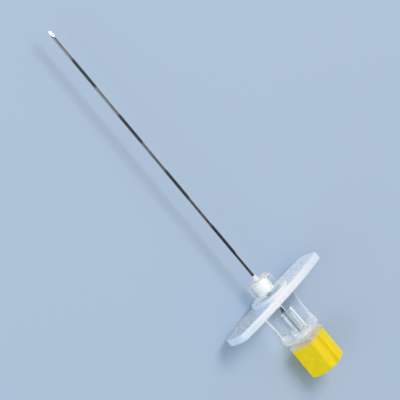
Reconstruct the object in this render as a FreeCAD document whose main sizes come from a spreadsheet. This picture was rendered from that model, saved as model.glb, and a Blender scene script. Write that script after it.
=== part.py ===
"""Winged epidural needle with its stylet.

The needle lies along X with its tip at +X, the wing's long axis along Y and the bevel facing up.
Lengths are in millimetres. The origin is at the middle of the footprint, on the surface it lies on.
"""

import FreeCAD, Part
import Sketcher
import math
import os

V = FreeCAD.Vector

# Driving dimensions: alias, value, what it is
SIZES = [
    ("needle_length", 90.0, "hub nose to needle tip"),
    ("cannula_diameter", 0.90, "outside of the steel tube, 20 gauge"),
    ("cannula_bore", 0.60, "inside of the steel tube"),
    ("cannula_seat", 10.65, "length of tube held inside the hub"),
    ("tip_bend_radius", 4.2, "centre line of the curved tip"),
    ("tip_bend_angle", 28.0, "turn of the curved tip, degrees"),
    ("tip_relief", 0.02, "stylet end lies this far inside the curved tip and under its bevel"),
    ("nose_radius", 3.84, "cylinder that the sheath grips"),
    ("nose_length", 4.65, "nose in front of the wing's boss"),
    ("nose_edge", 0.50, "chamfer of the nose's front edge"),
    ("spigot_step", 0.16, "spigot that the wing grips, above the nose"),
    ("spigot_reach", 0.15, "spigot in front of the wing's collar"),
    ("shoulder_radius", 5.95, "hub body behind the wing"),
    ("waist_draw", 0.63, "radius lost from the shoulder to the waist"),
    ("waist_place", 6.2, "shoulder to waist"),
    ("throat_rise", 0.18, "radius gained from the waist to the rear rim"),
    ("rim_step", 0.18, "rear rim above the body in front of it"),
    ("rim_length", 1.5, "rear rim along the axis"),
    ("rim_edge", 0.30, "chamfer of the rim's rear edge"),
    ("hub_length", 11.25, "shoulder to rear face"),
    ("socket_mouth_radius", 2.15, "mouth of the conical socket"),
    ("socket_taper", 0.03, "radius lost for each millimetre of depth"),
    ("socket_depth", 8.55, "conical socket, from the rear face"),
    ("bond_radius", 1.55, "white bond in the nose"),
    ("bond_length", 4.0, "bond inside the nose"),
    ("well_radius", 2.20, "mouth of the nose's conical well, which the bond fills"),
    ("well_depth", 0.90, "conical well"),
    ("neck_length", 1.8, "bond's neck in front of the nose"),
    ("neck_root_radius", 0.75, "neck at the nose"),
    ("neck_tip_radius", 0.50, "neck's front end"),
    ("wing_length", 36.8, "wing from end to end"),
    ("wing_width", 12.3, "wing across its middle"),
    ("wing_end_width", 7.9, "wing across its ends, before the corners are rounded"),
    ("wing_thickness", 2.25, "wing along the needle"),
    ("wing_corner", 2.9, "rounding of the wing's corners"),
    ("wing_edge", 0.40, "chamfer of the wing's rims"),
    ("boss_radius", 6.0, "collar on the wing's front"),
    ("boss_height", 1.05, "collar along the needle"),
    ("boss_edge", 0.30, "chamfer of the collar"),
    ("plug_gap", 1.2, "hub's rear face to the stylet's flange"),
    ("plug_reach", 7.3, "stylet cone inside the socket"),
    ("plug_core_radius", 1.30, "hollow of the stylet cone"),
    ("flange_thickness", 1.35, "stylet flange along the axis"),
    ("flange_edge", 0.25, "chamfer of the flange's front edge"),
    ("stem_radius", 1.90, "stylet plug inside the cap"),
    ("stem_length", 5.0, "stylet plug inside the cap"),
    ("cap_side", 8.05, "cap and flange across their flats"),
    ("cap_corner", 0.80, "rounding of the cap's long edges"),
    ("cap_length", 10.05, "cap along the axis, to the top of its crown"),
    ("cap_crown", 1.30, "fall of the cap's domed end from its middle to its corners"),
    ("cap_roll", 19.0, "turn of the cap about the needle, degrees"),
    ("flute_radius", 1.00, "groove along the cap's upper face"),
    ("flute_depth", 0.75, "groove's depth"),
    ("flute_offset", 0.75, "groove beside the middle of its face"),
    ("running_clearance", 0.03, "stylet wire in the tube, each side"),
    ("cone_clearance", 0.04, "stylet cone in the socket, each side"),
    ("bond_clearance", 0.01, "between pieces that are glued or pressed together"),
    ("seat_clearance", 0.03, "wing on the hub, each side"),
]

MARGIN = 1.0


class Length:
    """A length with the spreadsheet expression that it comes from."""

    def __init__(self, value, text):
        self.value = value
        self.text = text

    def _with(self, other, sign, value):
        other_text = other.text if isinstance(other, Length) else repr(float(other))
        return Length(value, f"({self.text} {sign} {other_text})")

    def __add__(self, other):
        return self._with(other, "+", self.value + number(other))

    def __sub__(self, other):
        return self._with(other, "-", self.value - number(other))

    def __mul__(self, other):
        return self._with(other, "*", self.value * number(other))

    def __truediv__(self, other):
        return self._with(other, "/", self.value / number(other))

    def __neg__(self):
        return Length(-self.value, f"(0 - {self.text})")


class Sizes:
    """The driving dimensions by name, each as a Length."""

    def __init__(self, rows):
        for alias, value, _ in rows:
            setattr(self, alias, Length(value, f"Size.{alias}"))


def number(size):
    return size.value if isinstance(size, Length) else float(size)


def sine(angle):
    return Length(math.sin(math.radians(angle.value)), f"sin({angle.text} * 1deg)")


def cosine(angle):
    return Length(math.cos(math.radians(angle.value)), f"cos({angle.text} * 1deg)")


def arc_radius(run, rise):
    """Radius of an arc that is level at one end and climbs by rise over run."""
    return (run * run + rise * rise) / (rise * 2)


ZERO = Length(0.0, "0")
size = Sizes(SIZES)

# Places along the needle, from the frame's origin
total_length = (
    size.needle_length + size.nose_length + size.boss_height + size.wing_thickness
    + size.hub_length + size.plug_gap + size.flange_thickness + size.cap_length
)
axis_height = size.wing_width / 2
nose_x = total_length / 2 - size.needle_length
shoulder_x = nose_x - size.nose_length - size.boss_height - size.wing_thickness
hub_rear_x = shoulder_x - size.hub_length
flange_x = hub_rear_x - size.plug_gap
cap_x = flange_x - size.flange_thickness

doc = FreeCAD.newDocument("EpiduralNeedle")


def make_sheet():
    """The spreadsheet that drives every size."""
    sheet = doc.addObject("Spreadsheet::Sheet", "Size")
    for row, (alias, value, note) in enumerate(SIZES, start=1):
        sheet.set(f"A{row}", note)
        sheet.set(f"B{row}", str(value))
        sheet.setAlias(f"B{row}", alias)
    doc.recompute()


def bind(thing, path, length):
    thing.setExpression(path, length.text)


def make_body(label, x, roll=None):
    """A body on the needle's axis, at x, turned by roll about the axis."""
    body = doc.addObject("PartDesign::Body", label)
    body.Label = label
    turn = roll.value if roll else 0.0
    body.Placement = FreeCAD.Placement(V(x.value, 0, axis_height.value), FreeCAD.Rotation(V(1, 0, 0), turn))
    bind(body, "Placement.Base.x", x)
    bind(body, "Placement.Base.z", axis_height)
    if roll:
        bind(body, "Placement.Rotation.Angle", roll)
    return body


def make_sketch(body, name, plane, offset=ZERO):
    """A sketch on one of the body's own planes, moved along its normal by offset."""
    sketch = body.newObject("Sketcher::SketchObject", name)
    support = [feature for feature in body.Origin.OriginFeatures if feature.Role == plane][0]
    sketch.AttachmentSupport = [(support, "")]
    sketch.MapMode = "FlatFace"
    sketch.AttachmentOffset = FreeCAD.Placement(V(0, 0, offset.value), FreeCAD.Rotation())
    if offset is not ZERO:
        bind(sketch, "AttachmentOffset.Base.z", offset)
    return sketch


def fix(sketch, constraint, length):
    index = sketch.addConstraint(constraint)
    bind(sketch, f"Constraints[{index}]", length)


def place(sketch, edge, end, x, y):
    """Ties a point of an edge to the sketch's origin."""
    fix(sketch, Sketcher.Constraint("DistanceX", -1, 1, edge, end, x.value), x)
    fix(sketch, Sketcher.Constraint("DistanceY", -1, 1, edge, end, y.value), y)


def add_circle(sketch, radius, x=ZERO, y=ZERO):
    edge = sketch.addGeometry(Part.Circle(V(x.value, y.value, 0), V(0, 0, 1), radius.value), False)
    place(sketch, edge, 3, x, y)
    fix(sketch, Sketcher.Constraint("Radius", edge, radius.value), radius)


def add_axis(sketch, x_from, y_from, x_to, y_to):
    """A construction line, which a revolution can turn about."""
    start = V(x_from.value, y_from.value, 0)
    end = V(x_to.value, y_to.value, 0)
    edge = sketch.addGeometry(Part.LineSegment(start, end), True)
    place(sketch, edge, 1, x_from, y_from)
    place(sketch, edge, 2, x_to, y_to)


def arc_between(start, end, radius, turn):
    """The arc from start to end; turn is 1 where it turns left and -1 where it turns right."""
    chord = end - start
    middle = (start + end) / 2
    aside = V(-chord.y, chord.x, 0).normalize()
    reach = math.sqrt(radius ** 2 - (chord.Length / 2) ** 2)
    centre = middle + aside * reach * turn
    first, last = (start, end) if turn > 0 else (end, start)
    angles = [math.atan2(point.y - centre.y, point.x - centre.x) for point in (first, last)]
    if angles[1] < angles[0]:
        angles[1] += 2 * math.pi
    return Part.ArcOfCircle(Part.Circle(centre, V(0, 0, 1), radius), angles[0], angles[1])


def add_outline(sketch, points):
    """A closed outline. A point is (x, y), or (x, y, radius, turn) where an arc leads to it."""
    ends = []
    for k, point in enumerate(points):
        before = points[k - 1]
        start = V(before[0].value, before[1].value, 0)
        end = V(point[0].value, point[1].value, 0)
        if len(point) == 2:
            edge = sketch.addGeometry(Part.LineSegment(start, end), False)
            ends.append((edge, 1, 2))
        else:
            radius, turn = point[2:]
            edge = sketch.addGeometry(arc_between(start, end, radius.value, turn), False)
            ends.append((edge, 1, 2) if turn > 0 else (edge, 2, 1))
            fix(sketch, Sketcher.Constraint("Radius", edge, radius.value), radius)
    for k, (edge, first, last) in enumerate(ends):
        following, following_first, _ = ends[(k + 1) % len(ends)]
        sketch.addConstraint(Sketcher.Constraint("Coincident", edge, last, following, following_first))
        place(sketch, edge, last, points[k][0], points[k][1])


def add_pad(body, name, sketch, length, backward=False):
    pad = body.newObject("PartDesign::Pad", name)
    pad.Profile = sketch
    bind(pad, "Length", length)
    pad.Reversed = backward
    sketch.Visibility = False
    return pad


def add_cut(body, name, sketch, length=None, backward=False):
    """A pocket: along its sketch's normal for length, or both ways through everything."""
    cut = body.newObject("PartDesign::Pocket", name)
    cut.Profile = sketch
    if length is None:
        cut.Type = "ThroughAll"
        cut.Midplane = True
    else:
        bind(cut, "Length", length)
        cut.Reversed = backward
    sketch.Visibility = False
    return cut


def add_turn(body, name, sketch, kind="PartDesign::Revolution", axis="H_Axis", angle=None, backward=False):
    """A revolution or groove about an axis of its sketch."""
    turned = body.newObject(kind, name)
    turned.Profile = sketch
    turned.ReferenceAxis = (sketch, [axis])
    turned.Angle = 360.0
    if angle is not None:
        bind(turned, "Angle", angle)
    turned.Reversed = backward
    sketch.Visibility = False
    return turned


def edge_names(base, wanted):
    """Names of the edges of base for which wanted(edge) is true."""
    doc.recompute()
    names = [f"Edge{k}" for k, edge in enumerate(base.Shape.Edges, start=1) if wanted(edge)]
    if not names:
        raise RuntimeError(f"no edge of {base.Name} is picked")
    return names


def add_rounding(body, name, base, radius, wanted):
    names = edge_names(base, wanted)
    rounding = body.newObject("PartDesign::Fillet", name)
    rounding.Base = (base, names)
    bind(rounding, "Radius", radius)
    return rounding


def add_chamfer(body, name, base, width, wanted):
    names = edge_names(base, wanted)
    chamfer = body.newObject("PartDesign::Chamfer", name)
    chamfer.Base = (base, names)
    bind(chamfer, "Size", width)
    return chamfer


def circle_at(x, radius):
    """A test for a full circle about the axis, at x, of that radius."""
    def wanted(edge):
        curve = edge.Curve
        if not isinstance(curve, Part.Circle) or abs(abs(curve.Axis.x) - 1) > 1e-6:
            return False
        on_axis = math.hypot(curve.Center.y, curve.Center.z) < 1e-6
        return on_axis and abs(curve.Center.x - x.value) < 1e-4 and abs(curve.Radius - radius.value) < 1e-4
    return wanted


def lies_at(x):
    """A test for an edge whose every point is at x."""
    def wanted(edge):
        return abs(edge.BoundBox.XMin - x.value) < 1e-4 and abs(edge.BoundBox.XMax - x.value) < 1e-4
    return wanted


def along_axis(edge):
    return isinstance(edge.Curve, Part.Line) and edge.BoundBox.YLength + edge.BoundBox.ZLength < 1e-6


def draw_tip_bevel(body, relief):
    """The region above the bevel, which runs from the bend's start to the outer wall at its end."""
    outer = size.cannula_diameter / 2
    heel_x = size.needle_length - tip_run()
    tip_z = size.tip_bend_radius - (size.tip_bend_radius + outer) * cosine(size.tip_bend_angle)
    sketch = make_sketch(body, "bevel_line", "XZ_Plane")
    add_outline(sketch, [
        (heel_x, outer - relief),
        (size.needle_length, tip_z - relief),
        (size.needle_length + MARGIN, tip_z - relief),
        (size.needle_length + MARGIN, outer + MARGIN),
        (heel_x, outer + MARGIN),
    ])
    return sketch


def tip_run():
    """Length of the curved tip along the needle."""
    return (size.tip_bend_radius + size.cannula_diameter / 2) * sine(size.tip_bend_angle)


def draw_ring(body, name, x, outer, inner, bend=False):
    """A ring about the axis at x; with bend, also the line that the tip turns about."""
    sketch = make_sketch(body, name, "YZ_Plane", x)
    add_circle(sketch, outer)
    add_circle(sketch, inner)
    if bend:
        height = size.tip_bend_radius
        add_axis(sketch, Length(-MARGIN, str(-MARGIN)), height, Length(MARGIN, str(MARGIN)), height)
    return sketch


def make_cannula():
    """Steel tube with the tip curved up and ground to a side-facing bevel."""
    body = make_body("cannula", nose_x)
    outer = size.cannula_diameter / 2
    inner = size.cannula_bore / 2
    bend_x = size.needle_length - tip_run()
    shaft = draw_ring(body, "shaft_section", bend_x, outer, inner)
    add_pad(body, "shaft", shaft, bend_x + size.cannula_seat, backward=True)
    bend = draw_ring(body, "bend_section", bend_x, outer, inner, bend=True)
    add_turn(body, "curved_tip", bend, axis="Axis0", angle=size.tip_bend_angle, backward=True)
    add_cut(body, "bevel", draw_tip_bevel(body, ZERO))


def make_hub():
    """Clear moulded hub: nose, spigot under the wing, waisted body, rim and conical socket."""
    body = make_body("hub", shoulder_x)
    front = size.wing_thickness + size.boss_height + size.nose_length
    rear = -size.hub_length
    waist = -size.waist_place
    throat = rear + size.rim_length
    spigot = size.wing_thickness + size.boss_height + size.spigot_reach
    waist_radius = size.shoulder_radius - size.waist_draw
    throat_radius = waist_radius + size.throat_rise
    rim_radius = throat_radius + size.rim_step
    profile = make_sketch(body, "hub_profile", "XZ_Plane")
    add_outline(profile, [
        (front, ZERO),
        (front, size.nose_radius - size.nose_edge),
        (front - size.nose_edge, size.nose_radius),
        (spigot, size.nose_radius),
        (spigot, spigot_radius()),
        (ZERO, spigot_radius()),
        (ZERO, size.shoulder_radius),
        (waist, waist_radius, arc_radius(size.waist_place, size.waist_draw), -1),
        (throat, throat_radius, arc_radius(waist - throat, size.throat_rise), -1),
        (throat, rim_radius),
        (rear + size.rim_edge, rim_radius),
        (rear, rim_radius - size.rim_edge),
        (rear, ZERO),
    ])
    add_turn(body, "hub_solid", profile)
    hollow = make_sketch(body, "hollow_profile", "XZ_Plane")
    bond_hole = size.bond_radius + size.bond_clearance
    tube_hole = size.cannula_diameter / 2 + size.bond_clearance
    socket_end = rear + size.socket_depth
    bond_end = front - size.bond_length - size.bond_clearance
    add_outline(hollow, [
        (front + MARGIN, ZERO),
        (front + MARGIN, well_radius(MARGIN)),
        (front - size.well_depth, bond_hole),
        (bond_end, bond_hole),
        (bond_end, tube_hole),
        (socket_end, tube_hole),
        (socket_end, socket_radius(size.socket_depth)),
        (rear - MARGIN, socket_radius(-Length(MARGIN, str(MARGIN)))),
        (rear - MARGIN, ZERO),
    ])
    add_turn(body, "hollow", hollow, kind="PartDesign::Groove")


def well_radius(ahead):
    """Radius of the hub's conical well, carried on ahead of the nose's face."""
    slope = (size.well_radius - size.bond_radius) / size.well_depth
    return size.well_radius + size.bond_clearance + slope * ahead


def spigot_radius():
    """Radius of the hub where the wing sits on it."""
    return size.nose_radius + size.spigot_step


def socket_radius(depth):
    """Radius of the hub's conical socket at a depth from its mouth."""
    return size.socket_mouth_radius - depth * size.socket_taper


def make_bond():
    """White bond that holds the tube in the nose, with a neck round the needle."""
    body = make_body("bond", nose_x)
    profile = make_sketch(body, "bond_profile", "XZ_Plane")
    hole = size.cannula_diameter / 2 + size.bond_clearance
    add_outline(profile, [
        (-size.bond_length, hole),
        (size.neck_length, hole),
        (size.neck_length, size.neck_tip_radius),
        (ZERO, size.neck_root_radius),
        (ZERO, size.well_radius),
        (-size.well_depth, size.bond_radius),
        (-size.bond_length, size.bond_radius),
    ])
    add_turn(body, "bond_solid", profile)


def make_wing():
    """Milky wing: a bowed plate with a round collar, pushed over the nose up to the shoulder."""
    body = make_body("wing", shoulder_x)
    half_length = size.wing_length / 2
    half_end = size.wing_end_width / 2
    bow = arc_radius(half_length, size.wing_width / 2 - half_end)
    outline = make_sketch(body, "wing_outline", "YZ_Plane")
    add_outline(outline, [
        (-half_length, -half_end),
        (half_length, -half_end, bow, 1),
        (half_length, half_end),
        (-half_length, half_end, bow, 1),
    ])
    plate = add_pad(body, "plate", outline, size.wing_thickness)
    corners = add_rounding(body, "corner_rounding", plate, size.wing_corner, along_axis)
    front = size.wing_thickness
    add_chamfer(
        body, "rim_chamfer", corners, size.wing_edge, lambda edge: lies_at(ZERO)(edge) or lies_at(front)(edge)
    )
    collar = make_sketch(body, "collar_outline", "YZ_Plane", front)
    add_circle(collar, size.boss_radius)
    add_pad(body, "collar", collar, size.boss_height)
    hole = make_sketch(body, "hole_outline", "YZ_Plane")
    add_circle(hole, spigot_radius() + size.seat_clearance)
    bored = add_cut(body, "hole", hole)
    collar_front = front + size.boss_height
    add_chamfer(body, "collar_chamfer", bored, size.boss_edge, circle_at(collar_front, size.boss_radius))


def make_stylet_wire():
    """Straight wire that fills the tube; its end is relieved to pass the curved tip."""
    body = make_body("stylet_wire", nose_x)
    radius = size.cannula_bore / 2 - size.running_clearance
    rear = cap_x - nose_x - size.stem_length
    wire = make_sketch(body, "wire_section", "YZ_Plane", rear)
    add_circle(wire, radius)
    add_pad(body, "wire", wire, size.needle_length - rear)
    bend_x = size.needle_length - tip_run()
    core = radius - size.tip_relief
    relief = draw_ring(body, "relief_section", bend_x, size.cannula_diameter, core, bend=True)
    sweep = size.tip_bend_angle * 1.5
    add_turn(body, "relief", relief, kind="PartDesign::Groove", axis="Axis0", angle=sweep, backward=True)
    add_cut(body, "bevel", draw_tip_bevel(body, size.tip_relief))


def draw_square(body, name, x):
    """The square outline that the stylet's flange and cap share."""
    half = size.cap_side / 2
    sketch = make_sketch(body, name, "YZ_Plane", x)
    add_outline(sketch, [(-half, -half), (half, -half), (half, half), (-half, half)])
    return sketch


def make_stylet_plug():
    """Clear plug: hollow cone in the hub's socket, square flange and a stem in the cap."""
    body = make_body("stylet_plug", flange_x, size.cap_roll)
    square = draw_square(body, "flange_outline", ZERO)
    flange = add_pad(body, "flange", square, size.flange_thickness, backward=True)
    corners = add_rounding(body, "corner_rounding", flange, size.cap_corner, along_axis)
    add_chamfer(body, "front_chamfer", corners, size.flange_edge, lies_at(ZERO))
    profile = make_sketch(body, "cone_profile", "XZ_Plane")
    tip = size.plug_gap + size.plug_reach
    root_radius = cone_radius(-size.plug_gap)
    tip_radius = cone_radius(size.plug_reach)
    stem_end = -size.flange_thickness - size.stem_length
    hole = size.cannula_bore / 2 - size.running_clearance + size.bond_clearance
    add_outline(profile, [
        (tip, size.plug_core_radius),
        (tip, tip_radius),
        (ZERO, root_radius),
        (ZERO, size.stem_radius),
        (stem_end, size.stem_radius),
        (stem_end, hole),
        (ZERO, hole),
        (ZERO, size.plug_core_radius),
    ])
    add_turn(body, "cone", profile)
    wire_hole = make_sketch(body, "wire_hole_outline", "YZ_Plane")
    add_circle(wire_hole, hole)
    add_cut(body, "wire_hole", wire_hole)


def cone_radius(depth):
    """Radius of the stylet's cone at a depth inside the hub's socket."""
    return socket_radius(depth) - size.cone_clearance


def draw_crown(body):
    """What lies outside the dome of the cap's rear end, with an upright line through the dome's centre."""
    rear = -size.cap_length
    reach = size.cap_side / math.sqrt(2)
    radius = arc_radius(reach, size.cap_crown)
    sketch = make_sketch(body, "crown_line", "XZ_Plane")
    add_outline(sketch, [
        (rear + size.cap_crown, -reach),
        (rear + size.cap_crown, reach, radius, -1),
        (rear - MARGIN, reach),
        (rear - MARGIN, -reach),
    ])
    add_axis(sketch, rear + radius, -reach, rear + radius, reach)
    return sketch


def make_stylet_cap():
    """Yellow cap: rounded square with a domed end, one flute, and a socket for the plug's stem."""
    body = make_body("stylet_cap", cap_x, size.cap_roll)
    square = draw_square(body, "cap_outline", ZERO)
    block = add_pad(body, "block", square, size.cap_length, backward=True)
    add_rounding(body, "corner_rounding", block, size.cap_corner, along_axis)
    add_turn(body, "domed_end", draw_crown(body), kind="PartDesign::Groove", axis="Axis0")
    flute = make_sketch(body, "flute_outline", "YZ_Plane")
    add_circle(flute, size.flute_radius, size.flute_offset, size.cap_side / 2 + size.flute_radius - size.flute_depth)
    add_cut(body, "flute", flute)
    socket = make_sketch(body, "socket_outline", "YZ_Plane")
    add_circle(socket, size.stem_radius + size.bond_clearance)
    add_cut(body, "socket", socket, size.stem_length + size.bond_clearance)


def check_and_write():
    """Checks every object and shape, then writes one file for each body."""
    doc.recompute()
    for thing in doc.Objects:
        if "Invalid" in thing.State or "Error" in thing.State:
            raise RuntimeError(f"{thing.Name} failed: {thing.State}")
    os.makedirs("parts", exist_ok=True)
    for body in doc.Objects:
        if body.TypeId != "PartDesign::Body":
            continue
        shape = body.Shape
        if shape.isNull() or not shape.isValid() or len(shape.Solids) != 1:
            raise RuntimeError(f"{body.Label} is not one valid solid")
        print(f"{body.Label}: {shape.Volume:.2f} cubic millimetres")
        shape.exportStep(f"parts/{body.Label}.step")


make_sheet()
make_cannula()
make_hub()
make_bond()
make_wing()
make_stylet_wire()
make_stylet_plug()
make_stylet_cap()
check_and_write()
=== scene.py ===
"""Finishes the winged epidural needle: rounded mouldings, plastics, steel, floor, lamps and camera.

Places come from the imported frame. The needle lies along X with its tip at +X; lengths are in metres.
"""

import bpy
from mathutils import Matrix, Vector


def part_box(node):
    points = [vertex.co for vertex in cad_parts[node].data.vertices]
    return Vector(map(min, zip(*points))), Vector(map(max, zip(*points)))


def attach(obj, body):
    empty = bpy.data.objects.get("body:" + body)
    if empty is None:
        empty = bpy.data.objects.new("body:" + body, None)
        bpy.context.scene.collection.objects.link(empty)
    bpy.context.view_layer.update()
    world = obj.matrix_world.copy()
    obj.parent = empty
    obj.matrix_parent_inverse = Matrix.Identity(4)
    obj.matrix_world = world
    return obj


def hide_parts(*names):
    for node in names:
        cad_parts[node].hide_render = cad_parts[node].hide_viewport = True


bl_info = {
    "name": "Epidural Needle",
    "version": (1, 0, 0),
    "blender": (4, 5, 0),
    "location": "View3D > Sidebar > Needle",
    "description": "Adds the finished pieces of a winged epidural needle and a studio for it",
    "category": "Add Mesh",
}

import math

import bmesh
import bpy
from mathutils import Matrix, Vector

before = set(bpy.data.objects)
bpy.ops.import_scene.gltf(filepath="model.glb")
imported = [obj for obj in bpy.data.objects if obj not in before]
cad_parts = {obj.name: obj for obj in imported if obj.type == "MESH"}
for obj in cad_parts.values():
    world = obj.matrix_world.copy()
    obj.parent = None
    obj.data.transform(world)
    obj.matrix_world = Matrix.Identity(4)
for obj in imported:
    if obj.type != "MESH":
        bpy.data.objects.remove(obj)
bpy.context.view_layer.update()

MM = 0.001
FULL_TURN = 2 * math.pi

# Steps of the round forms, and the angle from which an edge stays sharp
STEPS_ROUND = 160
ROUNDING_STEPS = 8
SOFTENING_STEPS = 3
BEND_STEPS = 16
DOME_STEPS = 16
BOW_STEPS = 24
SHOULDER_STEPS = 10
THROAT_STEPS = 6
CREASE = math.radians(32)

# Fine distances: points in one place, the bevel's cut, and a tool that stands clear of what it cuts
SAME_PLACE = 1e-7
CUT_MARGIN = 1e-8
SPARE = 1 * MM
HAIR = 0.01 * MM

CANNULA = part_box("cannula")
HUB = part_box("hub")
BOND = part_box("bond")
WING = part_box("wing")
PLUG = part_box("stylet_plug")
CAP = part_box("stylet_cap")
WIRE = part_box("stylet_wire")

AXIS_Z = (BOND[0].z + BOND[1].z) / 2
TIP_X = CANNULA[1].x
NOSE_X = HUB[1].x
SHOULDER_X = WING[0].x
HUB_REAR_X = HUB[0].x
CAP_FRONT_X = CAP[1].x

# Steel: most of a noise's values lie in this range; the bevel is ground satin, and on one side of its front
# its colour is painted near white, a painted highlight
NOISE_RANGE = (0.3, 0.7)
PAINTED_BEVEL_HIGHLIGHT = "#e8eaec"
HONED_LENGTH = 1.45 * MM
HONED_EDGE_Y = -0.02 * MM
TUBE_HONING = 0.02 * MM
WIRE_HONING = 0.3 * MM

# The room: its light, the floor's size, and the dark side that steel mirrors
ROOM_WHITE = "#f1f5fa"
ROOM_LIGHT = 0.60
FLOOR_RADIUS = 8.0
DARK_SIDE = (-0.22, 0.84, 0.50)

# The photograph's view: the needle's tip leans towards the camera and the wing is turned from it
TIP_LEAN = math.radians(13)
WING_TURN = math.radians(-32)
IMAGE_TURN = (0.642, 0.7667)
IMAGE_SCALE = 3.695 / MM
IMAGE_MIDDLE = 200
TIP_IN_IMAGE = (49.50, 32.10)
TIP_TO_CENTRE = (
    (IMAGE_MIDDLE - TIP_IN_IMAGE[0]) / IMAGE_SCALE,
    -(IMAGE_MIDDLE - TIP_IN_IMAGE[1]) / IMAGE_SCALE,
)
SENSOR_WIDTH = 36.0


class TubeSettings(bpy.types.PropertyGroup):
    bore: bpy.props.FloatProperty(
        name="Bore", description="Inside diameter of the steel tube", default=0.60 * MM, unit="LENGTH")
    bend_radius: bpy.props.FloatProperty(
        name="Bend radius", description="Centre line of the curved tip", default=4.2 * MM, unit="LENGTH")
    bend_angle: bpy.props.FloatProperty(
        name="Bend angle", description="Turn of the curved tip",
        default=math.radians(28), subtype="ANGLE")
    band: bpy.props.FloatProperty(
        name="Depth band", description="Length of each polished or matt band",
        default=10.0 * MM, unit="LENGTH")
    # The rear end inside the hub is painted near black: painted shade for the dark reflection of the steel
    # there.
    painted_dark_end: bpy.props.FloatProperty(
        name="Dark end", description="Blasted rear end that shows in the hub",
        default=1.7 * MM, unit="LENGTH")


class HubSettings(bpy.types.PropertyGroup):
    nose_radius: bpy.props.FloatProperty(
        name="Nose radius", description="Cylinder that the sheath grips",
        default=3.84 * MM, unit="LENGTH")
    spigot_step: bpy.props.FloatProperty(
        name="Spigot step", description="Spigot under the wing, above the nose",
        default=0.16 * MM, unit="LENGTH")
    spigot_reach: bpy.props.FloatProperty(
        name="Spigot reach", description="Spigot in front of the collar",
        default=0.15 * MM, unit="LENGTH")
    shoulder_radius: bpy.props.FloatProperty(
        name="Shoulder radius", description="Body behind the wing", default=5.95 * MM, unit="LENGTH")
    waist_draw: bpy.props.FloatProperty(
        name="Waist draw", description="Radius lost from shoulder to waist",
        default=0.63 * MM, unit="LENGTH")
    waist_place: bpy.props.FloatProperty(
        name="Waist place", description="Shoulder to waist", default=6.2 * MM, unit="LENGTH")
    throat_rise: bpy.props.FloatProperty(
        name="Throat rise", description="Radius gained from waist to rim",
        default=0.18 * MM, unit="LENGTH")
    rim_step: bpy.props.FloatProperty(
        name="Rim step", description="Rear rim above the body", default=0.18 * MM, unit="LENGTH")
    rim_length: bpy.props.FloatProperty(
        name="Rim length", description="Rear rim along the axis", default=1.5 * MM, unit="LENGTH")
    rounding: bpy.props.FloatProperty(
        name="Rounding", description="Radius of the outer edges", default=0.34 * MM, unit="LENGTH")
    nose_rounding: bpy.props.FloatProperty(
        name="Nose rounding", description="Radius of the nose's front edge",
        default=0.55 * MM, unit="LENGTH")
    mouth_radius: bpy.props.FloatProperty(
        name="Mouth radius", description="Mouth of the conical socket", default=2.15 * MM, unit="LENGTH")
    taper: bpy.props.FloatProperty(
        name="Taper", description="Radius lost for each unit of depth", default=0.03)
    socket_depth: bpy.props.FloatProperty(
        name="Socket depth", description="Conical socket from the rear face",
        default=8.55 * MM, unit="LENGTH")
    colour: bpy.props.FloatVectorProperty(
        name="Plastic", description="Tint of the clear plastic",
        default=(0.96, 0.985, 1.0), subtype="COLOR")


class BondSettings(bpy.types.PropertyGroup):
    radius: bpy.props.FloatProperty(
        name="Radius", description="Bond inside the nose", default=1.55 * MM, unit="LENGTH")
    well_depth: bpy.props.FloatProperty(
        name="Well depth", description="Conical well in the nose's face",
        default=0.90 * MM, unit="LENGTH")
    neck_root: bpy.props.FloatProperty(
        name="Neck root", description="Radius of the neck at the nose", default=0.75 * MM, unit="LENGTH")
    neck_tip: bpy.props.FloatProperty(
        name="Neck tip", description="Radius of the neck's front end", default=0.50 * MM, unit="LENGTH")
    wetting: bpy.props.FloatProperty(
        name="Wetting", description="Bond and clear plastic meet without air",
        default=0.02 * MM, unit="LENGTH")


class WingSettings(bpy.types.PropertyGroup):
    end_width: bpy.props.FloatProperty(
        name="End width", description="Wing across its ends", default=7.9 * MM, unit="LENGTH")
    corner: bpy.props.FloatProperty(
        name="Corner", description="Radius of the wing's corners", default=2.9 * MM, unit="LENGTH")
    thickness: bpy.props.FloatProperty(
        name="Thickness", description="Wing along the needle", default=2.25 * MM, unit="LENGTH")
    collar_radius: bpy.props.FloatProperty(
        name="Collar radius", description="Round collar on the wing's front",
        default=6.0 * MM, unit="LENGTH")
    rounding: bpy.props.FloatProperty(
        name="Rounding", description="Radius of the wing's rims", default=0.45 * MM, unit="LENGTH")
    gap: bpy.props.FloatProperty(
        name="Gap", description="Wing around the hub's spigot", default=0.03 * MM, unit="LENGTH")


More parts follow.
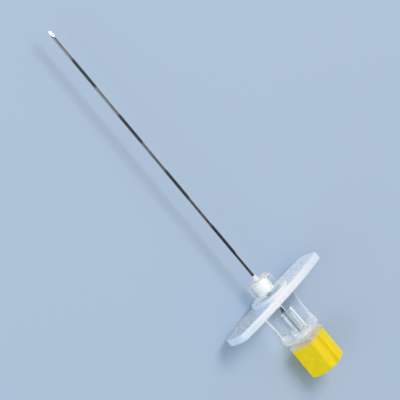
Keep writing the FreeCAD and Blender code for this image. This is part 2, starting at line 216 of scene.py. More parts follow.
class StyletSettings(bpy.types.PropertyGroup):
    roll: bpy.props.FloatProperty(
        name="Roll", description="Turn of the cap about the needle",
        default=math.radians(19), subtype="ANGLE")
    side: bpy.props.FloatProperty(
        name="Side", description="Cap and flange across their flats", default=8.05 * MM, unit="LENGTH")
    corner: bpy.props.FloatProperty(
        name="Corner", description="Radius of the cap's long edges", default=0.80 * MM, unit="LENGTH")
    flange: bpy.props.FloatProperty(
        name="Flange", description="Thickness of the flange", default=1.35 * MM, unit="LENGTH")
    flange_rounding: bpy.props.FloatProperty(
        name="Flange rounding", description="Radius of its front edge", default=0.28 * MM, unit="LENGTH")
    crown: bpy.props.FloatProperty(
        name="Crown", description="Fall of the cap's domed end", default=1.30 * MM, unit="LENGTH")
    cap_rounding: bpy.props.FloatProperty(
        name="Cap rounding", description="Softening of the cap's edges", default=0.22 * MM, unit="LENGTH")
    flute_radius: bpy.props.FloatProperty(
        name="Flute radius", description="Groove along the cap", default=1.00 * MM, unit="LENGTH")
    flute_depth: bpy.props.FloatProperty(
        name="Flute depth", description="Depth of the groove", default=0.75 * MM, unit="LENGTH")
    flute_offset: bpy.props.FloatProperty(
        name="Flute offset", description="Groove beside the middle of its face",
        default=0.75 * MM, unit="LENGTH")
    weld: bpy.props.FloatProperty(
        name="Weld", description="Flange and cap meet without air", default=0.01 * MM, unit="LENGTH")
    cone_gap: bpy.props.FloatProperty(
        name="Cone gap", description="Cone inside the hub's socket", default=0.04 * MM, unit="LENGTH")
    core_radius: bpy.props.FloatProperty(
        name="Core radius", description="Hollow of the cone", default=1.30 * MM, unit="LENGTH")
    stem_radius: bpy.props.FloatProperty(
        name="Stem radius", description="Stem inside the cap", default=1.90 * MM, unit="LENGTH")


class StageSettings(bpy.types.PropertyGroup):
    lens: bpy.props.FloatProperty(
        name="Lens", description="Focal length of the camera in millimetres", default=1200.0)
    view_width: bpy.props.FloatProperty(
        name="View width", description="Width seen at the object", default=108.25 * MM, unit="LENGTH")
    floor_colour: bpy.props.StringProperty(
        name="Floor", description="Floor colour as an sRGB hex code", default="#b0c4da")


class NeedleSettings(bpy.types.PropertyGroup):
    tube: bpy.props.PointerProperty(type=TubeSettings)
    hub: bpy.props.PointerProperty(type=HubSettings)
    bond: bpy.props.PointerProperty(type=BondSettings)
    wing: bpy.props.PointerProperty(type=WingSettings)
    stylet: bpy.props.PointerProperty(type=StyletSettings)
    stage: bpy.props.PointerProperty(type=StageSettings)


def linear(code):
    """An sRGB hex code as linear red, green, blue and alpha."""
    parts = [int(code[k:k + 2], 16) / 255 for k in (1, 3, 5)]
    return [c / 12.92 if c <= 0.04045 else ((c + 0.055) / 1.055) ** 2.4 for c in parts] + [1.0]


def add_node(tree, kind, inputs=None, **settings):
    """Adds a node; inputs are values for its sockets or the outputs that feed them."""
    node = tree.nodes.new(kind)
    for name, value in settings.items():
        setattr(node, name, value)
    for name, value in (inputs or {}).items():
        if isinstance(value, bpy.types.NodeSocket):
            tree.links.new(value, node.inputs[name])
        else:
            node.inputs[name].default_value = value
    return node


def maths(tree, operation, *values, clamp=False):
    """The result of one operation on values or outputs."""
    node = add_node(
        tree, "ShaderNodeMath", dict(enumerate(values)), operation=operation, use_clamp=clamp)
    return node.outputs[0]


def alignment(tree, direction, axis):
    """The dot product of an output with a fixed axis."""
    node = add_node(tree, "ShaderNodeVectorMath", {0: direction, 1: axis}, operation="DOT_PRODUCT")
    return node.outputs["Value"]


def ranged(tree, value, start, end, low, high):
    """Low up to the start, high from the end on, and a straight passage between them."""
    return add_node(tree, "ShaderNodeMapRange", {
        "Value": value, "From Min": start, "From Max": end, "To Min": low, "To Max": high,
    }).outputs["Result"]


def split(tree, place):
    """The X, Y and Z of a place."""
    return add_node(tree, "ShaderNodeSeparateXYZ", {"Vector": place}).outputs


def new_material(name):
    """An empty node material with its output, and the object's own coordinates."""
    material = bpy.data.materials.new(name)
    material.use_nodes = True
    tree = material.node_tree
    tree.nodes.clear()
    output = add_node(tree, "ShaderNodeOutputMaterial")
    place = add_node(tree, "ShaderNodeTexCoord").outputs["Object"]
    return material, tree, output, place


def mottle(tree, place, grain, low, high, detail=3.0):
    """A value between low and high that varies in patches of the size grain."""
    noise = add_node(tree, "ShaderNodeTexNoise", {"Vector": place, "Scale": 1 / grain, "Detail": detail})
    return ranged(tree, noise.outputs["Fac"], *NOISE_RANGE, low, high)


def drawn_out(tree, place, share):
    """The place for patches that a drawing die has stretched along the needle."""
    return add_node(tree, "ShaderNodeMapping", {
        "Vector": place, "Scale": (share, 1.0, 1.0)}).outputs["Vector"]


def mixed(tree, share, first, second):
    """The colour at that share between two, each a hex code or an output."""
    mix = add_node(tree, "ShaderNodeMix", {"Factor": share}, data_type="RGBA")
    for socket, colour in ((mix.inputs[6], first), (mix.inputs[7], second)):
        if isinstance(colour, str):
            socket.default_value = linear(colour)
        else:
            tree.links.new(colour, socket)
    return mix.outputs[2]


def relief(tree, height, depth, strength):
    """The surface normal of fine relief of that depth."""
    return add_node(tree, "ShaderNodeBump", {
        "Height": height, "Distance": depth, "Strength": strength,
    }).outputs["Normal"]


def honed_face_and_painted_highlight(tree, place, settings, depth):
    """1 on one side of the tip's ground bevel and down to that depth under it, 0 elsewhere: there the steel
    is satin and its colour is a painted highlight.
    """
    heel, normal = bevel_plane(settings)
    ground = maths(tree, "GREATER_THAN", alignment(tree, place, normal), heel.dot(normal) - depth)
    parts = split(tree, place)
    front = maths(tree, "GREATER_THAN", parts["X"], TIP_X - HONED_LENGTH)
    side = maths(tree, "LESS_THAN", parts["Y"], HONED_EDGE_Y)
    honed_and_painted_highlight = maths(tree, "MULTIPLY", front, side)
    return maths(tree, "MULTIPLY", ground, honed_and_painted_highlight)


def steel_tube_material(settings):
    """Drawn stainless tube: polished and grit-blasted bands, and a rear end inside the hub painted near black
    as a painted dark reflection.
    """
    material, tree, output, place = new_material("stainless_steel_polished_and_blasted_bands")
    polished, blasted, satin_gain = 0.13, 0.25, 0.34
    along = split(tree, place)["X"]
    from_tip = maths(tree, "SUBTRACT", TIP_X, along)
    place_in_pair = maths(tree, "MODULO", from_tip, 2 * settings.band)
    matt = maths(tree, "GREATER_THAN", place_in_pair, settings.band)
    seat = maths(tree, "LESS_THAN", along, NOSE_X)
    # Painted dark reflection: the tube's rear end inside the hub is coloured near black.
    end = maths(tree, "LESS_THAN", along, CANNULA[0].x + settings.painted_dark_end)
    honed_and_painted_highlight = honed_face_and_painted_highlight(tree, place, settings, TUBE_HONING)
    colour = mixed(tree, matt, "#acb0b5", "#5f646a")
    # Painted highlight: one side of the ground bevel is coloured near white.
    colour = mixed(tree, honed_and_painted_highlight, colour, PAINTED_BEVEL_HIGHLIGHT)
    colour = mixed(tree, seat, colour, "#c4c8cc")
    colour = mixed(tree, end, colour, "#0c0d0f")
    satin = maths(tree, "MAXIMUM", honed_and_painted_highlight, seat)
    streaks = mottle(tree, drawn_out(tree, place, share=0.04), 0.12 * MM, -0.04, 0.06)
    uneven = maths(tree, "ADD", ranged(tree, matt, 0.0, 1.0, polished, blasted), streaks)
    grit = maths(tree, "MULTIPLY", mottle(tree, place, 0.06 * MM, 0.0, 1.0), matt)
    shader = add_node(tree, "ShaderNodeBsdfPrincipled", {
        "Base Color": colour, "Metallic": 1.0,
        "Roughness": maths(tree, "MULTIPLY_ADD", satin, satin_gain, uneven),
        "Normal": relief(tree, grit, depth=0.01 * MM, strength=0.35),
    })
    tree.links.new(shader.outputs[0], output.inputs["Surface"])
    return material


def wire_material(settings):
    """Drawn stainless wire with faint die lines along it and a ground end, satin and painted near white as a
    painted highlight.
    """
    material, tree, output, place = new_material("stainless_steel_drawn_wire")
    satin_gain = 0.25
    streaks = drawn_out(tree, place, share=0.03)
    honed_and_painted_highlight = honed_face_and_painted_highlight(tree, place, settings, WIRE_HONING)
    colour = mixed(tree, mottle(tree, streaks, 0.10 * MM, 0.0, 1.0), "#7c8187", "#9a9ea3")
    drawn = mottle(tree, streaks, 0.08 * MM, 0.20, 0.34)
    # Painted highlight: the wire's ground end is coloured near white.
    shader = add_node(tree, "ShaderNodeBsdfPrincipled", {
        "Base Color": mixed(tree, honed_and_painted_highlight, colour, PAINTED_BEVEL_HIGHLIGHT), "Metallic": 1.0,
        "Roughness": maths(tree, "MULTIPLY_ADD", honed_and_painted_highlight, satin_gain, drawn),
    })
    tree.links.new(shader.outputs[0], output.inputs["Surface"])
    return material


def mirrored_rays(tree):
    """1 for what a shiny surface mirrors, 0 for all else, also for what is seen through clear plastic."""
    path = add_node(tree, "ShaderNodeLightPath").outputs
    return maths(tree, "SUBTRACT", path["Is Glossy Ray"], path["Is Transmission Ray"], clamp=True)


def haze_and_painted_edge_highlight(tree, faced, grazing):
    """Clearness of thick moulded edges, for a side that faces the eye and for one that turns away; where the
    surface turns away it is made less clear, so it shows white as a painted edge highlight.
    """
    facing = add_node(tree, "ShaderNodeLayerWeight").outputs["Facing"]
    turned_from, turned_to = 0.45, 0.80
    return ranged(tree, facing, turned_from, turned_to, faced, grazing)


def let_lamps_through(tree, output, shader, share):
    """Clear plastic casts only a faint shadow: that share of the lamps' light passes it."""
    shadow_ray = add_node(tree, "ShaderNodeLightPath").outputs["Is Shadow Ray"]
    passed = maths(tree, "MULTIPLY", shadow_ray, share)
    clear = add_node(tree, "ShaderNodeBsdfTransparent")
    blend = add_node(tree, "ShaderNodeMixShader", {"Fac": passed, 1: shader.outputs[0], 2: clear.outputs[0]})
    tree.links.new(blend.outputs[0], output.inputs["Surface"])


def clear_plastic_material(settings):
    """Injection-moulded clear copolyester: nearly colourless and glossy; its rear rim is rougher and less
    clear so that it shows white, a painted highlight.
    """
    material, tree, output, place = new_material("clear_moulded_copolyester")
    rim_gain = 0.30
    throat_x = HUB_REAR_X + settings.rim_length
    # Painted highlight: the rear rim is made rougher and less clear, so it shows white.
    rim = maths(tree, "LESS_THAN", split(tree, place)["X"], throat_x)
    gloss = mottle(tree, place, 1.5 * MM, 0.02, 0.06)
    shader = add_node(tree, "ShaderNodeBsdfPrincipled", {
        "Base Color": [*settings.colour, 1.0], "IOR": 1.57,
        "Roughness": maths(tree, "MULTIPLY_ADD", rim, rim_gain, gloss),
        "Transmission Weight": ranged(tree, rim, 0.0, 1.0, 1.0, haze_and_painted_edge_highlight(tree, faced=0.84, grazing=0.25)),
    })
    let_lamps_through(tree, output, shader, share=0.95)
    return material


def plug_material():
    """Natural polypropylene, clear in the thin cone and hazy in the thick flange, whose edges are whitened as
    a painted highlight: the stylet's plug.
    """
    material, tree, output, place = new_material("natural_polypropylene")
    haze_from, haze_to = HUB_REAR_X - 0.4 * MM, HUB_REAR_X + 0.6 * MM
    # The flange's haze is the plastic's own; where its surface turns from the eye it is made less clear
    # still, a painted highlight.
    flange, cone = haze_and_painted_edge_highlight(tree, faced=0.72, grazing=0.20), 0.985
    shader = add_node(tree, "ShaderNodeBsdfPrincipled", {
        "Base Color": linear("#fbfcfc"), "IOR": 1.49,
        "Roughness": mottle(tree, place, 0.8 * MM, 0.06, 0.14),
        "Transmission Weight": ranged(tree, split(tree, place)["X"], haze_from, haze_to, flange, cone),
    })
    let_lamps_through(tree, output, shader, share=0.9)
    return material


def bond_material():
    """Cured white epoxy: opaque, softly glossy, slightly creamy and uneven."""
    material, tree, output, place = new_material("white_cured_epoxy")
    shader = add_node(tree, "ShaderNodeBsdfPrincipled", {
        "Base Color": mixed(tree, mottle(tree, place, 0.7 * MM, 0.0, 1.0), "#f9f9f6", "#f0eee8"),
        "Roughness": mottle(tree, place, 0.4 * MM, 0.3, 0.5), "IOR": 1.55,
        "Subsurface Weight": 0.3, "Subsurface Radius": (0.8, 0.7, 0.6), "Subsurface Scale": 0.6 * MM,
        "Normal": relief(tree, mottle(tree, place, 0.5 * MM, 0.0, 1.0), depth=0.05 * MM, strength=0.4),
    })
    tree.links.new(shader.outputs[0], output.inputs["Surface"])
    return material


def wing_shares(tree, place, settings):
    """How far a point lies along the wing from its middle, and across it, as shares of its size there."""
    parts = split(tree, place)
    half_length = (WING[1].y - WING[0].y) / 2
    half_width = (WING[1].z - WING[0].z) / 2
    along = maths(tree, "DIVIDE", parts["Y"], half_length)
    bow = maths(tree, "MULTIPLY", along, along)
    width = maths(tree, "MULTIPLY_ADD", bow, settings.end_width / 2 - half_width, half_width)
    across = maths(tree, "DIVIDE", maths(tree, "SUBTRACT", parts["Z"], AXIS_Z), width)
    return maths(tree, "ABSOLUTE", along), maths(tree, "ABSOLUTE", across)


def wing_material(settings):
    """Milky polypropylene that scatters light inside; its colour is bluer on the flats and painted whiter
    towards the thin rims and ends as a painted glow.
    """
    material, tree, output, place = new_material("milky_polypropylene")
    along, across = wing_shares(tree, place, settings)
    # Painted glow: the colour turns whiter towards the rims and the ends of the wing.
    rim_from, rim_to = 0.62, 0.92
    end_from, end_to = 0.35, 0.80
    rim = ranged(tree, across, rim_from, rim_to, 0.0, 1.0)
    end = ranged(tree, along, end_from, end_to, 0.0, 1.0)
    cloud = mottle(tree, place, 5.0 * MM, -0.12, 0.12, detail=2.0)
    glow = maths(tree, "ADD", rim, cloud, clamp=True)
    painted_glow_colour = mixed(tree, end, "#f1f4fd", "#dfebfa")
    shader = add_node(tree, "ShaderNodeBsdfPrincipled", {
        "Base Color": mixed(tree, glow, "#dbe8f7", painted_glow_colour),
        "Roughness": mottle(tree, place, 1.2 * MM, 0.22, 0.32), "IOR": 1.49,
        "Subsurface Weight": 0.75, "Subsurface Radius": (0.7, 0.9, 1.0), "Subsurface Scale": 1.6 * MM,
    })
    tree.links.new(shader.outputs[0], output.inputs["Surface"])
    return material


def cap_material():
    """Yellow polypropylene from a spark-eroded mould: strong colour under a fine satin grain."""
    material, tree, output, place = new_material("yellow_polypropylene")
    cloud = mottle(tree, place, 2.0 * MM, 0.0, 1.0, detail=2.0)
    shader = add_node(tree, "ShaderNodeBsdfPrincipled", {
        "Base Color": mixed(tree, cloud, "#fadb00", "#ffe50a"),
        "Roughness": mottle(tree, place, 0.3 * MM, 0.30, 0.42),
        "IOR": 1.49, "Specular IOR Level": 0.30,
        "Subsurface Weight": 0.15, "Subsurface Radius": (1.0, 0.7, 0.1), "Subsurface Scale": 0.8 * MM,
        "Normal": relief(tree, mottle(tree, place, 0.12 * MM, 0.0, 1.0), depth=0.012 * MM, strength=0.4),
    })
    tree.links.new(shader.outputs[0], output.inputs["Surface"])
    return material


def turned(outline):
    """A closed outline of (x, radius, rounding) spun about the needle's axis, its corners rounded first."""
    mesh = bmesh.new()
    points = [mesh.verts.new((x, 0.0, AXIS_Z + radius)) for x, radius, _ in outline]
    for k, point in enumerate(points):
        mesh.edges.new((points[k - 1], point))
    for point, (_, _, rounding) in zip(points, outline):
        if rounding > 0:
            bmesh.ops.bevel(
                mesh, geom=[point], offset=rounding, affect="VERTICES", segments=ROUNDING_STEPS,
                profile=0.5, material=-1)
    bmesh.ops.spin(
        mesh, geom=mesh.verts[:] + mesh.edges[:], cent=(0, 0, AXIS_Z), axis=(1, 0, 0),
        angle=FULL_TURN, steps=STEPS_ROUND, use_merge=True)
    bmesh.ops.recalc_face_normals(mesh, faces=mesh.faces[:])
    return mesh


def rod(x_from, x_to, radius, y=0.0, z=AXIS_Z):
    """A solid round rod along X."""
    mesh = bmesh.new()
    turn = Matrix.Rotation(math.pi / 2, 4, "Y")
    middle = Matrix.Translation(((x_from + x_to) / 2, y, z))
    bmesh.ops.create_cone(
        mesh, cap_ends=True, segments=STEPS_ROUND, radius1=radius, radius2=radius,
        depth=x_to - x_from, matrix=middle @ turn)
    return mesh


def slab(outline, x_from, x_to, corner, corners, rim_from, rim_to):
    """A flat outline of (y, z) pushed along X, its corners and its two rims rounded."""
    mesh = bmesh.new()
    points = [mesh.verts.new((x_from, y, z)) for y, z in outline]
    mesh.faces.new(points)
    bmesh.ops.bevel(
        mesh, geom=[points[k] for k in corners], offset=corner, affect="VERTICES",
        segments=2 * ROUNDING_STEPS, profile=0.5, material=-1)
    pushed = bmesh.ops.extrude_face_region(mesh, geom=mesh.faces[:])
    moved = [item for item in pushed["geom"] if isinstance(item, bmesh.types.BMVert)]
    bmesh.ops.translate(mesh, verts=moved, vec=(x_to - x_from, 0, 0))
    bmesh.ops.recalc_face_normals(mesh, faces=mesh.faces[:])
    for x, rounding in ((x_from, rim_from), (x_to, rim_to)):
        rim = [e for e in mesh.edges if all(abs(v.co.x - x) < SAME_PLACE for v in e.verts)]
        if rounding > 0:
            bmesh.ops.bevel(
                mesh, geom=rim, offset=rounding, affect="EDGES", segments=ROUNDING_STEPS,
                profile=0.5, material=-1, clamp_overlap=True)
    return mesh


def square(side):
    """The corners of a square about the needle's axis."""
    half = side / 2
    return [(-half, -half), (half, -half), (half, half), (-half, half)]


def roll_about_axis(mesh, roll):
    """Rolls a solid that was made about X, and lifts it to the needle's axis."""
    bmesh.ops.rotate(mesh, verts=mesh.verts[:], cent=(0, 0, 0), matrix=Matrix.Rotation(roll, 3, "X"))
    bmesh.ops.translate(mesh, verts=mesh.verts[:], vec=(0, 0, AXIS_Z))


def loose_object(mesh, name):
    """An object of its own from a finished mesh."""
    data = bpy.data.meshes.new(name)
    mesh.to_mesh(data)
    mesh.free()
    piece = bpy.data.objects.new(name, data)
    bpy.context.scene.collection.objects.link(piece)
    return piece


def worked(mesh, name, *tools):
    """The solid with each (operation, solid) joined to it or cut from it."""
    piece = loose_object(mesh, name)
    for k, (operation, tool_mesh) in enumerate(tools):
        tool = loose_object(tool_mesh, f"{name}_tool_{k}")
        step = piece.modifiers.new(operation, "BOOLEAN")
        step.operation = operation
        step.solver = "EXACT"
        step.object = tool
        whole = bpy.data.meshes.new_from_object(
            piece.evaluated_get(bpy.context.evaluated_depsgraph_get()))
        piece.modifiers.clear()
        old = piece.data
        piece.data = whole
        bpy.data.meshes.remove(old)
        bpy.data.objects.remove(tool)
    return piece


def finish_piece(piece, material, body, node):
    """Shades a finished piece and hands it to its body in place of its plain node."""
    piece.data.materials.clear()
    piece.data.materials.append(material)
    piece.data.shade_smooth()
    piece.data.set_sharp_from_angle(angle=CREASE)
    even = piece.modifiers.new("even_normals", "WEIGHTED_NORMAL")
    even.keep_sharp = True
    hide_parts(node)
    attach(piece, body)


def dress_node(node, material):
    """A plain node whose shape is right gets its finish."""
    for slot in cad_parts[node].material_slots:
        slot.material = material


def bevel_plane(settings):
    """The heel of the bevel and the direction that its ground face looks in."""
    outer = (CANNULA[1].y - CANNULA[0].y) / 2
    reach = settings.bend_radius + outer
    heel = Vector((TIP_X - reach * math.sin(settings.bend_angle), 0, AXIS_Z + outer))
    point = Vector((TIP_X, 0, AXIS_Z + settings.bend_radius - reach * math.cos(settings.bend_angle)))
    slope = point - heel
    return heel, Vector((-slope.z, 0, slope.x)).normalized()


def bent_tube(settings):
    """Steel tube: a ring pushed to the bend, spun round it, and cut along the bevel."""
    outer = (CANNULA[1].y - CANNULA[0].y) / 2
    inner = settings.bore / 2
    heel, bevel_normal = bevel_plane(settings)
    mesh = bmesh.new()
    place = Matrix.Translation((CANNULA[0].x, 0, AXIS_Z)) @ Matrix.Rotation(math.pi / 2, 4, "Y")
    rings = []
    for radius in (outer, inner):
        ring = bmesh.ops.create_circle(
            mesh, cap_ends=False, segments=STEPS_ROUND // 2, radius=radius, matrix=place)
        rings.extend(ring["verts"])
    bmesh.ops.bridge_loops(mesh, edges=mesh.edges[:])
    end = bmesh.ops.extrude_face_region(mesh, geom=mesh.faces[:])["geom"]
    end_points = [item for item in end if isinstance(item, bmesh.types.BMVert)]
    bmesh.ops.translate(mesh, verts=end_points, vec=(heel.x - CANNULA[0].x, 0, 0))
    end_faces = [item for item in end if isinstance(item, bmesh.types.BMFace)]
    bmesh.ops.spin(
        mesh, geom=end_faces, cent=(heel.x, 0, AXIS_Z + settings.bend_radius), axis=(0, 1, 0),
        angle=-settings.bend_angle, steps=BEND_STEPS)
    cut = bmesh.ops.bisect_plane(
        mesh, geom=mesh.verts[:] + mesh.edges[:] + mesh.faces[:], dist=CUT_MARGIN,
        plane_co=heel, plane_no=bevel_normal, clear_outer=True)
    rim = [item for item in cut["geom_cut"] if isinstance(item, bmesh.types.BMEdge)]
    bmesh.ops.triangle_fill(mesh, edges=rim, use_beauty=True)
    bmesh.ops.recalc_face_normals(mesh, faces=mesh.faces[:])
    return mesh


def rounded_cap(stylet):
    """Yellow cap: a square rod cut by its dome, flute and stem socket, and softened behind its front."""
    rear_x = CAP[0].x
    reach = stylet.side / math.sqrt(2)
    rod_square = slab(
        square(stylet.side), rear_x - SPARE, CAP_FRONT_X, stylet.corner, (0, 1, 2, 3), 0.0, 0.0)
    dome = turned([
        (CAP_FRONT_X + SPARE, 0.0, 0.0),
        (CAP_FRONT_X + SPARE, reach, 0.0),
        *arc_points(rear_x, reach, stylet.crown, DOME_STEPS),
    ])
    bmesh.ops.translate(dome, verts=dome.verts[:], vec=(0, 0, -AXIS_Z))
    groove = rod(
        rear_x - 2 * SPARE, CAP_FRONT_X + 2 * SPARE, stylet.flute_radius, y=stylet.flute_offset,
        z=stylet.side / 2 + stylet.flute_radius - stylet.flute_depth)
    socket = rod(PLUG[0].x, CAP_FRONT_X + SPARE, stylet.stem_radius + HAIR, z=0.0)
    piece = worked(
        rod_square, "yellow_cap", ("INTERSECT", dome), ("DIFFERENCE", groove), ("DIFFERENCE", socket))
    mesh = bmesh.new()
    mesh.from_mesh(piece.data)
    front = 0.1 * MM
    soft = [
        edge for edge in mesh.edges
        if edge.is_manifold and edge.calc_face_angle() > CREASE
        and any(CAP_FRONT_X - v.co.x > front for v in edge.verts)
    ]
    bmesh.ops.bevel(
        mesh, geom=soft, offset=stylet.cap_rounding, affect="EDGES", segments=SOFTENING_STEPS,
        profile=0.5, material=-1, clamp_overlap=True)
    roll_about_axis(mesh, stylet.roll)
    mesh.to_mesh(piece.data)
    mesh.free()
    return piece


def arc_points(rear_x, reach, crown, count):
    """From the dome's rim to its top: (x, radius, no rounding)."""
    radius = (reach ** 2 + crown ** 2) / (2 * crown)
    widest = math.asin(reach / radius)
    angles = [widest * (1 - k / count) for k in range(count + 1)]
    return [(rear_x + radius * (1 - math.cos(a)), radius * math.sin(a), 0.0) for a in angles]


def bow_points(half_length, half_width, half_end, count):
    """The wing's outline: two bowed sides between its narrow ends."""
    sag = half_width - half_end
    radius = (half_length ** 2 + sag ** 2) / (2 * sag)
    reach = math.asin(half_length / radius)
    angles = [reach * (2 * k / count - 1) for k in range(count + 1)]
    upper = [(radius * math.sin(a), radius * (math.cos(a) - 1) + half_width) for a in angles]
    lower = [(-y, -z) for y, z in upper]
    return upper + lower


class MakeCannula(bpy.types.Operator):
    """Steel tube with depth bands, curved tip and side-facing bevel"""
    bl_idname = "epidural.make_cannula"
    bl_label = "Cannula"

    def execute(self, context):
        settings = context.scene.needle.tube
        piece = loose_object(bent_tube(settings), "banded_cannula")
        finish_piece(piece, steel_tube_material(settings), "needle", "cannula")
        return {"FINISHED"}


class MakeHub(bpy.types.Operator):
    """Clear hub: nose, spigot, waisted body, rear rim and conical socket"""
    bl_idname = "epidural.make_hub"
    bl_label = "Hub"

    def execute(self, context):
        hub = context.scene.needle.hub
        bond = context.scene.needle.bond
        tube_radius = (CANNULA[1].y - CANNULA[0].y) / 2
        well_radius = (BOND[1].y - BOND[0].y) / 2
        waist_x = SHOULDER_X - hub.waist_place
        throat_x = HUB_REAR_X + hub.rim_length
        waist = hub.shoulder_radius - hub.waist_draw
        throat = waist + hub.throat_rise
        rim = throat + hub.rim_step
        socket_x = HUB_REAR_X + hub.socket_depth
        spigot = hub.nose_radius + hub.spigot_step
        spigot_x = WING[1].x + hub.spigot_reach
        outline = [
            (NOSE_X, hub.nose_radius, hub.nose_rounding),
            (spigot_x + hub.spigot_step, hub.nose_radius, 0.0),
            (spigot_x, spigot, 0.0),
            (SHOULDER_X, spigot, 0.0),
        ]
        outline += arc_down(SHOULDER_X, hub.shoulder_radius, waist_x, waist, SHOULDER_STEPS)
        outline += reversed(arc_down(throat_x, throat, waist_x, waist, THROAT_STEPS)[:-1])
        step_rounding, mouth_rounding = 0.12 * MM, 0.15 * MM
        outline += [
            (throat_x, rim, step_rounding),
            (HUB_REAR_X, rim, hub.rounding),
            (HUB_REAR_X, hub.mouth_radius, mouth_rounding),
            (socket_x, hub.mouth_radius - hub.taper * hub.socket_depth, 0.0),
            (socket_x, tube_radius, 0.0),
            (BOND[0].x, tube_radius, 0.0),
            (BOND[0].x, bond.radius, 0.0),
            (NOSE_X - bond.well_depth, bond.radius, 0.0),
            (NOSE_X, well_radius, 0.0),
        ]
        piece = loose_object(turned(outline), "clear_hub")
        finish_piece(piece, clear_plastic_material(hub), "needle", "hub")
        return {"FINISHED"}


def arc_down(x_from, r_from, x_to, r_to, count):
    """Points of an arc that is level where it ends."""
    run = abs(x_to - x_from)
    rise = r_from - r_to
    radius = (run ** 2 + rise ** 2) / (2 * rise)
    reach = math.asin(run / radius)
    toward = 1 if x_from > x_to else -1
    angles = [reach * (1 - k / count) for k in range(count + 1)]
    return [(x_to + toward * radius * math.sin(a), r_to + radius * (1 - math.cos(a)), 0.0) for a in angles]


class MakeBond(bpy.types.Operator):
    """White epoxy that fills the nose round the tube and rises in a neck"""
    bl_idname = "epidural.make_bond"
    bl_label = "Bond"

    def execute(self, context):
        bond = context.scene.needle.bond
        well_radius = (BOND[1].y - BOND[0].y) / 2
        hole = (CANNULA[1].y - CANNULA[0].y) / 2 - bond.wetting
        tip_rounding, root_rounding = 0.04 * MM, 0.30 * MM
        piece = loose_object(turned([
            (BOND[1].x, hole, 0.0),
            (BOND[1].x, bond.neck_tip, tip_rounding),
            (NOSE_X, bond.neck_root, root_rounding),
            (NOSE_X, well_radius + bond.wetting, 0.0),
            (NOSE_X - bond.well_depth, bond.radius + bond.wetting, 0.0),
            (BOND[0].x - bond.wetting, bond.radius + bond.wetting, 0.0),
            (BOND[0].x - bond.wetting, hole, 0.0),
        ]), "white_bond")
        finish_piece(piece, bond_material(), "needle", "bond")
        return {"FINISHED"}


class MakeWing(bpy.types.Operator):
    """Milky wing: bowed plate with rounded rims, collar and the hole for the nose"""
    bl_idname = "epidural.make_wing"
    bl_label = "Wing"

    def execute(self, context):
        wing = context.scene.needle.wing
        hub = context.scene.needle.hub
        spigot = hub.nose_radius + hub.spigot_step
        half_length = (WING[1].y - WING[0].y) / 2
        half_width = (WING[1].z - WING[0].z) / 2
        outline = bow_points(half_length, half_width, wing.end_width / 2, BOW_STEPS)
        front_x = SHOULDER_X + wing.thickness
        plate = slab(
            [(y, AXIS_Z + z) for y, z in outline], SHOULDER_X, front_x, wing.corner,
            (0, BOW_STEPS, BOW_STEPS + 1, 2 * BOW_STEPS + 1), wing.rounding, wing.rounding)
        root_x = front_x - 0.5 * MM
        inside = 0.5 * spigot
        collar_rounding = 0.3 * MM
        collar = turned([
            (root_x, inside, 0.0),
            (WING[1].x, inside, 0.0),
            (WING[1].x, wing.collar_radius, collar_rounding),
            (root_x, wing.collar_radius, 0.0),
        ])
        hole = rod(SHOULDER_X - SPARE, WING[1].x + SPARE, spigot + wing.gap)
        piece = worked(plate, "milky_wing", ("UNION", collar), ("DIFFERENCE", hole))
        finish_piece(piece, wing_material(wing), "needle", "wing")
        return {"FINISHED"}


class MakeStylet(bpy.types.Operator):
    """Stylet: the clear plug with its rounded flange, the yellow cap and the finish of the wire"""
    bl_idname = "epidural.make_stylet"
    bl_label = "Stylet"

    def execute(self, context):
        stylet = context.scene.needle.stylet
        hub = context.scene.needle.hub
        flange_x = CAP_FRONT_X + stylet.flange
        plate = slab(
            square(stylet.side), CAP_FRONT_X - stylet.weld, flange_x, stylet.corner, (0, 1, 2, 3),
            0.0, stylet.flange_rounding)
        roll_about_axis(plate, stylet.roll)
        wire_radius = (WIRE[1].y - WIRE[0].y) / 2
        inside = 0.5 * wire_radius
        cone_rounding = 0.08 * MM

        def cone_radius(x):
            return hub.mouth_radius - hub.taper * (x - HUB_REAR_X) - stylet.cone_gap

        stem = turned([
            (PLUG[1].x, stylet.core_radius, 0.0),
            (PLUG[1].x, cone_radius(PLUG[1].x), cone_rounding),
            (flange_x, cone_radius(flange_x), 0.0),
            (flange_x, stylet.stem_radius, 0.0),
            (PLUG[0].x, stylet.stem_radius, 0.0),
            (PLUG[0].x, inside, 0.0),
            (flange_x, inside, 0.0),
            (flange_x, stylet.core_radius, 0.0),
        ])
        hole = rod(PLUG[0].x - SPARE, PLUG[1].x + SPARE, wire_radius + HAIR)
        piece = worked(plate, "clear_plug", ("UNION", stem), ("DIFFERENCE", hole))
        finish_piece(piece, plug_material(), "stylet", "stylet_plug")
        finish_piece(rounded_cap(stylet), cap_material(), "stylet", "stylet_cap")
        dress_node("stylet_wire", wire_material(context.scene.needle.tube))
        return {"FINISHED"}


class MakeStage(bpy.types.Operator):
    """Pale floor, soft lamps and the camera at the photograph's angle"""
    bl_idname = "epidural.make_stage"
    bl_label = "Stage"

    def execute(self, context):
        stage = context.scene.needle.stage
        make_floor(stage)
        make_world()
        toward = view_direction()
        right, up = image_axes(toward)
        middle = Vector((TIP_X, 0, AXIS_Z)) + right * TIP_TO_CENTRE[0] + up * TIP_TO_CENTRE[1]
        middle -= toward * middle.dot(toward) - toward * Vector((0, 0, AXIS_Z)).dot(toward)
        add_camera(stage, middle, toward, right, up)
        add_lamp(
            "key", middle, Vector((0.24, -0.40, 0.88)), distance=0.75, width=0.40, power=2.3, code="#fff9f2")
        add_lamp(
            "fill", middle, Vector((0.10, 0.93, 0.36)), distance=0.9, width=0.6, power=2.5, code="#f3f7ff")
        context.scene.view_settings.view_transform = "Standard"
        return {"FINISHED"}


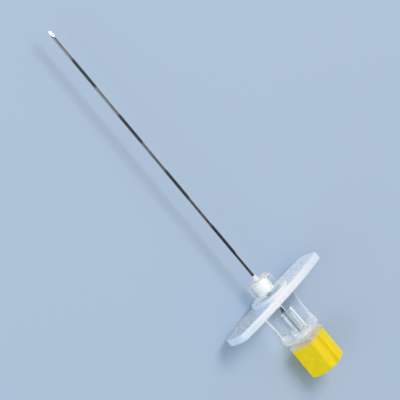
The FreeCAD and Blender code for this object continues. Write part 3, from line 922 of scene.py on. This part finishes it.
def view_direction():
    """From the object to the camera."""
    lean, turn = TIP_LEAN, WING_TURN
    return Vector((math.sin(lean), -math.cos(lean) * math.sin(turn), math.cos(lean) * math.cos(turn)))


def image_axes(toward):
    """The directions that point right and up in the image."""
    along = (toward * toward.x - Vector((1, 0, 0))).normalized()
    across = toward.cross(along)
    right = IMAGE_TURN[0] * along + IMAGE_TURN[1] * across
    up = -IMAGE_TURN[1] * along + IMAGE_TURN[0] * across
    return right, up


def add_camera(stage, middle, toward, right, up):
    """A long lens that looks at the middle and spans the stage's view width."""
    data = bpy.data.cameras.new("camera")
    data.sensor_width = SENSOR_WIDTH
    data.lens = stage.lens
    distance = stage.view_width * stage.lens / data.sensor_width
    camera = bpy.data.objects.new("camera", data)
    turn = Matrix((right, up, toward)).transposed().to_4x4()
    camera.matrix_world = Matrix.Translation(middle + toward * distance) @ turn
    bpy.context.scene.collection.objects.link(camera)
    bpy.context.scene.camera = camera


def add_lamp(name, middle, direction, distance, width, power, code):
    """A round soft lamp that shines at the middle from that direction."""
    data = bpy.data.lights.new(name, "AREA")
    data.shape = "DISK"
    data.size = width
    data.energy = power
    data.color = linear(code)[:3]
    lamp = bpy.data.objects.new(name, data)
    toward = direction.normalized()
    turn = toward.to_track_quat("Z", "Y").to_matrix().to_4x4()
    lamp.matrix_world = Matrix.Translation(middle + toward * distance) @ turn
    bpy.context.scene.collection.objects.link(lamp)


def make_floor(stage):
    """A wide pale floor that the needle lies on; steel mirrors it white on one side and grey on the other."""
    mesh = bmesh.new()
    bmesh.ops.create_circle(mesh, cap_ends=True, segments=STEPS_ROUND, radius=FLOOR_RADIUS)
    floor = loose_object(mesh, "floor")
    material, tree, output, place = new_material("pale_matt_board")
    shader = add_node(tree, "ShaderNodeBsdfPrincipled", {
        "Base Color": linear(stage.floor_colour), "Roughness": 0.8,
    })
    white_side, grey_side = 1.0, 0.22
    half_passage = 5 * MM
    fading = ranged(tree, split(tree, place)["Y"], -half_passage, half_passage, white_side, grey_side)
    white = add_node(tree, "ShaderNodeEmission", {"Color": linear(ROOM_WHITE), "Strength": fading})
    blend = add_node(tree, "ShaderNodeMixShader", {
        "Fac": mirrored_rays(tree), 1: shader.outputs[0], 2: white.outputs[0]})
    tree.links.new(blend.outputs[0], output.inputs["Surface"])
    floor.data.materials.append(material)


def make_world():
    """Even light all round; shiny surfaces mirror a dark side of it, so that bright steel has a dark core."""
    world = bpy.data.worlds.new("studio")
    world.use_nodes = True
    tree = world.node_tree
    tree.nodes.clear()
    direction = add_node(tree, "ShaderNodeTexCoord").outputs["Generated"]
    lit, dark = 0.90, 0.02
    dark_from, dark_to = 0.06, 0.50
    walls = ranged(tree, alignment(tree, direction, DARK_SIDE), dark_from, dark_to, lit, dark)
    path = add_node(tree, "ShaderNodeLightPath").outputs
    seen = maths(tree, "MAXIMUM", path["Is Camera Ray"], path["Is Transmission Ray"])
    plain = maths(tree, "MAXIMUM", ROOM_LIGHT, seen)
    strength = add_node(tree, "ShaderNodeMix", {0: mirrored_rays(tree), 2: plain, 3: walls}).outputs[0]
    glow = add_node(tree, "ShaderNodeBackground", {"Color": linear(ROOM_WHITE), "Strength": strength})
    output = add_node(tree, "ShaderNodeOutputWorld")
    tree.links.new(glow.outputs[0], output.inputs["Surface"])
    bpy.context.scene.world = world


class NeedlePanel(bpy.types.Panel):
    """Sizes and steps of the needle"""
    bl_idname = "VIEW3D_PT_epidural_needle"
    bl_label = "Epidural Needle"
    bl_space_type = "VIEW_3D"
    bl_region_type = "UI"
    bl_category = "Needle"

    def draw(self, context):
        for group, operators in PANEL_ROWS:
            settings = getattr(context.scene.needle, group)
            box = self.layout.box()
            for name in settings.bl_rna.properties.keys():
                if name not in ("rna_type", "name"):
                    box.prop(settings, name)
            for operator in operators:
                box.operator(operator)


PANEL_ROWS = (
    ("tube", ("epidural.make_cannula",)),
    ("hub", ("epidural.make_hub",)),
    ("bond", ("epidural.make_bond",)),
    ("wing", ("epidural.make_wing",)),
    ("stylet", ("epidural.make_stylet",)),
    ("stage", ("epidural.make_stage",)),
)

CLASSES = (
    TubeSettings, HubSettings, BondSettings, WingSettings, StyletSettings, StageSettings, NeedleSettings,
    MakeCannula, MakeHub, MakeBond, MakeWing, MakeStylet, MakeStage, NeedlePanel,
)


def register():
    for item in CLASSES:
        bpy.utils.register_class(item)
    bpy.types.Scene.needle = bpy.props.PointerProperty(type=NeedleSettings)


def unregister():
    del bpy.types.Scene.needle
    for item in reversed(CLASSES):
        bpy.utils.unregister_class(item)


def main():
    register()
    bpy.ops.epidural.make_stage()
    bpy.ops.epidural.make_cannula()
    bpy.ops.epidural.make_hub()
    bpy.ops.epidural.make_bond()
    bpy.ops.epidural.make_wing()
    bpy.ops.epidural.make_stylet()


if __name__ == "__main__":
    main()
